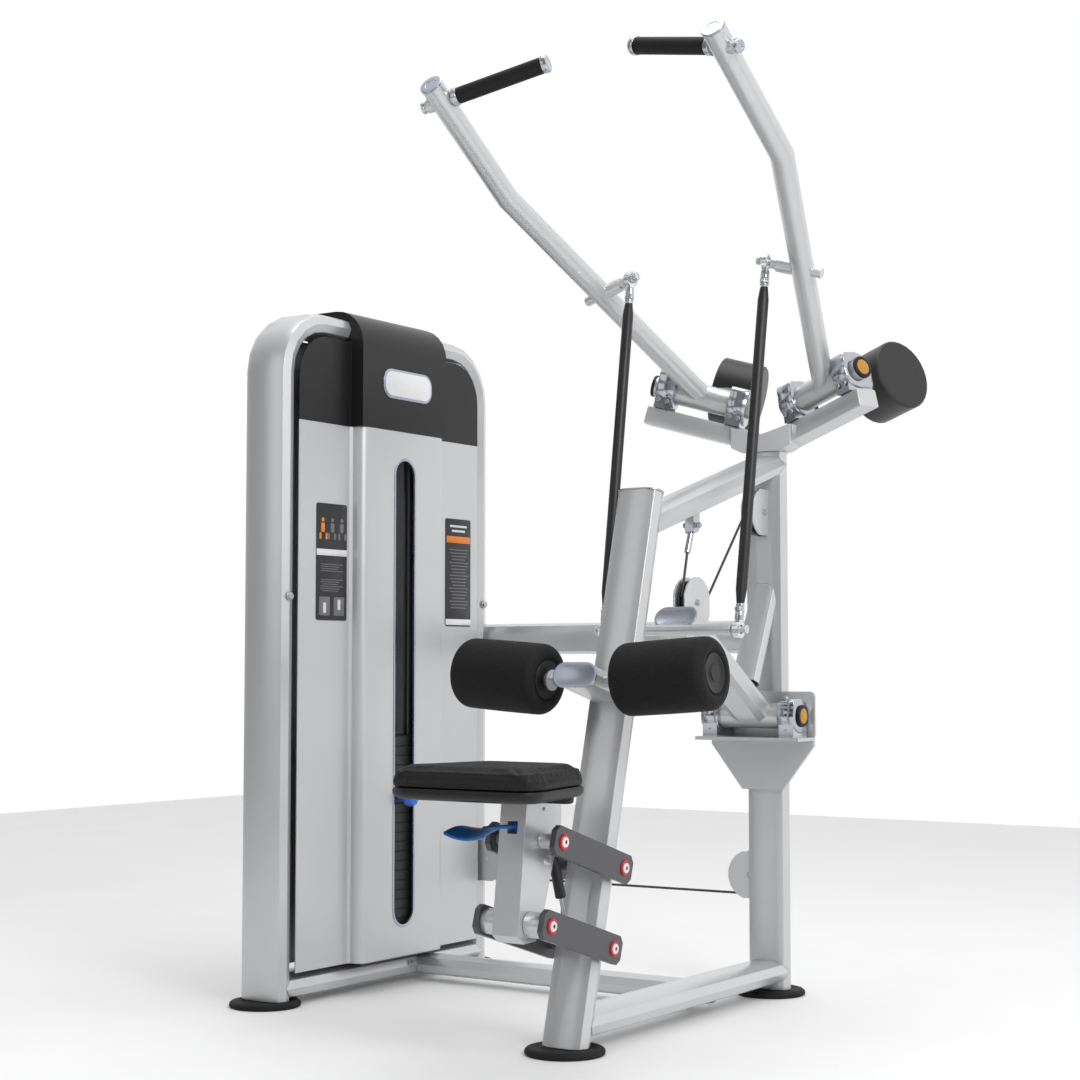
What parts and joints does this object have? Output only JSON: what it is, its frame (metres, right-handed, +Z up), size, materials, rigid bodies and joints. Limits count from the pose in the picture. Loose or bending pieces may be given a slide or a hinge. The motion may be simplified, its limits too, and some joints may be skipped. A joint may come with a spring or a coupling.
{
  "type": "lat pulldown machine",
  "caption": "Selectorised lat pulldown machine with diverging overhead arms, thigh rollers, a four-bar adjustable seat and an enclosed weight tower.",
  "frame": {"origin": "centre of the underside of the front post's foot pad, on the floor", "axes": "+X to the user's right, +Y the way the user faces, +Z up; the weight tower stands at -X"},
  "size_m": [1.3414, 1.5932, 2.068],
  "materials": {
    "silver_paint": "satin metallic",
    "chrome": "polished",
    "black_plastic": "fine grain",
    "rubber": "matt",
    "black_paint": "satin",
    "grey_paint": "satin",
    "steel": "turned",
    "plate_paint": "textured",
    "cable_plastic": "smooth",
    "blue_plastic": "smooth",
    "upholstery": "grained",
    "foam": "grained skin",
    "pulley_plastic": "moulded"
  },
  "bodies": {
    "frame": {"front_post": "silver_paint", "rear_upright": "silver_paint", "base_rail": "silver_paint", "upper_beam": "silver_paint", "yoke": "silver_paint", "cable_fork": "chrome", "bearing_left_inner": "chrome", "bearing_left_outer": "chrome", "bearing_right_inner": "chrome", "bearing_right_outer": "chrome", "lever_bracket": "chrome", "lever_stop": "silver_paint", "stop_bumper": "rubber", "thigh_beam": "silver_paint", "mid_tube": "silver_paint", "floor_tube": "silver_paint", "front_foot": "rubber", "rear_foot": "rubber", "tower_near_foot": "rubber", "tower_far_foot": "rubber", "cable_front": "cable_plastic", "cable_back": "cable_plastic", "cable_main": "cable_plastic", "cable_stack": "cable_plastic", "tower_arch": "silver_paint", "tower_base_tube": "silver_paint", "front_panel": "silver_paint", "rear_panel": "silver_paint", "top_cowl": "black_plastic", "guide_rods": "steel", "lower_plates": "plate_paint", "top_pulley_channel": "steel"},
    "arm_right": {"arm_right": "silver_paint", "counterweight_right": "black_paint", "grip_right": "rubber"},
    "arm_left": {"arm_left": "silver_paint", "counterweight_left": "black_paint", "grip_left": "rubber"},
    "lever": {"lever": "silver_paint"},
    "rod_right": {"push_rod_right": "black_paint"},
    "rod_left": {"push_rod_left": "black_paint"},
    "stack": {"top_plate": "steel", "lifted_plates": "plate_paint"},
    "pin": {"selector_pin": "blue_plastic"},
    "lever_pulley": {"lever_pulley": "pulley_plastic"},
    "upper_pulley": {"upper_pulley": "pulley_plastic"},
    "low_pulley": {"low_pulley": "pulley_plastic"},
    "leg_pulley": {"leg_pulley": "pulley_plastic"},
    "top_rear_pulley": {"top_rear_pulley": "pulley_plastic"},
    "top_stack_pulley": {"top_stack_pulley": "pulley_plastic"},
    "seat_links_lower": {"seat_links_lower": "grey_paint"},
    "seat_links_upper": {"seat_links_upper": "grey_paint"},
    "seat": {"seat_support": "silver_paint", "seat_base": "black_plastic", "seat_pad": "upholstery"},
    "seat_lever": {"seat_lever": "blue_plastic"},
    "gas_cylinder": {"gas_spring_cylinder": "black_paint"},
    "gas_rod": {"gas_spring_rod": "steel"},
    "roller_right": {"thigh_roller_right": "foam"},
    "roller_left": {"thigh_roller_left": "foam"}
  },
  "joints": [
    {"name": "arm_right_swing", "type": "hinge", "parent": "frame", "child": "arm_right", "pos_m": [0.161, 0.864, 1.423], "axis": [0.9134, -0.3081, 0.2661], "range_deg": [0, 50]},
    {"name": "arm_left_swing", "type": "hinge", "parent": "frame", "child": "arm_left", "pos_m": [-0.161, 0.864, 1.423], "axis": [0.9134, 0.3081, -0.2661], "range_deg": [0, 50]},
    {"name": "lever_swing", "type": "hinge", "parent": "frame", "child": "lever", "pos_m": [0, 0.808, 0.655], "axis": [1, 0, 0], "range_deg": [0, 39.57], "deforming": ["cable_front", "cable_back"]},
    {"name": "rod_right_swing", "type": "hinge", "parent": "lever", "child": "rod_right", "pos_m": [0.17, 0.419, 0.8488], "axis": [0.96, 0.0218, 0.2791], "range_deg": [-38.42, 0]},
    {"name": "rod_left_swing", "type": "hinge", "parent": "lever", "child": "rod_left", "pos_m": [-0.17, 0.419, 0.8488], "axis": [0.96, -0.0218, -0.2791], "range_deg": [-38.42, 0]},
    {"name": "stack_lift", "type": "slide", "parent": "frame", "child": "stack", "axis": [0, 0, 1], "range_m": [0, 0.487], "deforming": ["cable_stack"]},
    {"name": "pin_pull", "type": "slide", "parent": "stack", "child": "pin", "axis": [1, 0, 0], "range_m": [0, 0.105]},
    {"name": "lever_pulley_spin", "type": "hinge", "parent": "lever", "child": "lever_pulley", "pos_m": [0, 0.515, 0.911], "axis": [1, 0, 0], "range_deg": [-321.86, 0]},
    {"name": "upper_pulley_spin", "type": "hinge", "parent": "frame", "child": "upper_pulley", "pos_m": [0, 0.835, 1.134], "axis": [1, 0, 0], "range_deg": [0, 619.79]},
    {"name": "low_pulley_spin", "type": "hinge", "parent": "frame", "child": "low_pulley", "pos_m": [-0.045, 0.88, 0.276], "axis": [0, 1, 0], "range_deg": [-619.79, 0]},
    {"name": "leg_pulley_spin", "type": "hinge", "parent": "frame", "child": "leg_pulley", "pos_m": [-0.79, 0.845, 0.276], "axis": [0, 1, 0], "range_deg": [-619.79, 0]},
    {"name": "top_rear_pulley_spin", "type": "hinge", "parent": "frame", "child": "top_rear_pulley", "pos_m": [-0.835, 0.8, 1.38], "axis": [1, 0, 0], "range_deg": [-619.79, 0]},
    {"name": "top_stack_pulley_spin", "type": "hinge", "parent": "frame", "child": "top_stack_pulley", "pos_m": [-0.835, 0.5105, 1.38], "axis": [1, 0, 0], "range_deg": [-619.79, 0]},
    {"name": "seat_lift", "type": "hinge", "parent": "frame", "child": "seat_links_lower", "pos_m": [0, 0.054, 0.207], "axis": [-1, 0, 0], "range_deg": [-20, 15]},
    {"name": "seat_upper_link", "type": "hinge", "parent": "frame", "child": "seat_links_upper", "pos_m": [0, 0.0955, 0.3635], "axis": [-1, 0, 0], "range_deg": [-20.1, 15.1]},
    {"name": "seat_level", "type": "hinge", "parent": "seat_links_lower", "child": "seat", "pos_m": [0, -0.1685, 0.275], "axis": [-1, 0, 0], "range_deg": [-15.1, 20.1]},
    {"name": "gas_spring_tilt", "type": "hinge", "parent": "seat", "child": "gas_cylinder", "pos_m": [0, -0.062, 0.452], "axis": [-1, 0, 0], "range_deg": [-11.5, 8.7]},
    {"name": "gas_spring_stroke", "type": "slide", "parent": "gas_cylinder", "child": "gas_rod", "axis": [0, 0.3175, -0.9483], "range_m": [-0.068, 0.051]},
    {"name": "seat_lever_lift", "type": "hinge", "parent": "seat", "child": "seat_lever", "pos_m": [0, -0.1705, 0.462], "axis": [-1, 0, 0], "range_deg": [0, 8], "stiffness_Nm_per_rad": 0.6, "springref_deg": -5.73},
    {"name": "roller_right_spin", "type": "hinge", "parent": "frame", "child": "roller_right", "pos_m": [0.09, 0.076, 0.742], "axis": [0.9968, 0.0376, 0.0705], "continuous": true},
    {"name": "roller_left_spin", "type": "hinge", "parent": "frame", "child": "roller_left", "pos_m": [-0.09, 0.076, 0.742], "axis": [0.9968, -0.0376, -0.0705], "continuous": true}
  ],
  "couplings": [
    {"joint": "arm_left_swing", "follows": "arm_right_swing", "ratio": 1},
    {"joint": "lever_swing", "follows": "arm_right_swing", "ratio": 0.78933},
    {"joint": "rod_right_swing", "follows": "arm_right_swing", "ratio": -0.76642},
    {"joint": "rod_left_swing", "follows": "arm_right_swing", "ratio": -0.76642},
    {"joint": "stack_lift", "follows": "arm_right_swing", "m_per_rad": 0.55691},
    {"joint": "lever_pulley_spin", "follows": "arm_right_swing", "ratio": -6.4171},
    {"joint": "upper_pulley_spin", "follows": "arm_right_swing", "ratio": 12.376},
    {"joint": "low_pulley_spin", "follows": "arm_right_swing", "ratio": -12.376},
    {"joint": "leg_pulley_spin", "follows": "arm_right_swing", "ratio": -12.376},
    {"joint": "top_rear_pulley_spin", "follows": "arm_right_swing", "ratio": -12.376},
    {"joint": "top_stack_pulley_spin", "follows": "arm_right_swing", "ratio": -12.376},
    {"joint": "seat_upper_link", "follows": "seat_lift", "ratio": 1},
    {"joint": "seat_level", "follows": "seat_lift", "ratio": -1},
    {"joint": "gas_spring_tilt", "follows": "seat_lift", "ratio": 0.56663},
    {"joint": "gas_spring_stroke", "follows": "seat_lift", "m_per_rad": 0.19171}
  ]
}
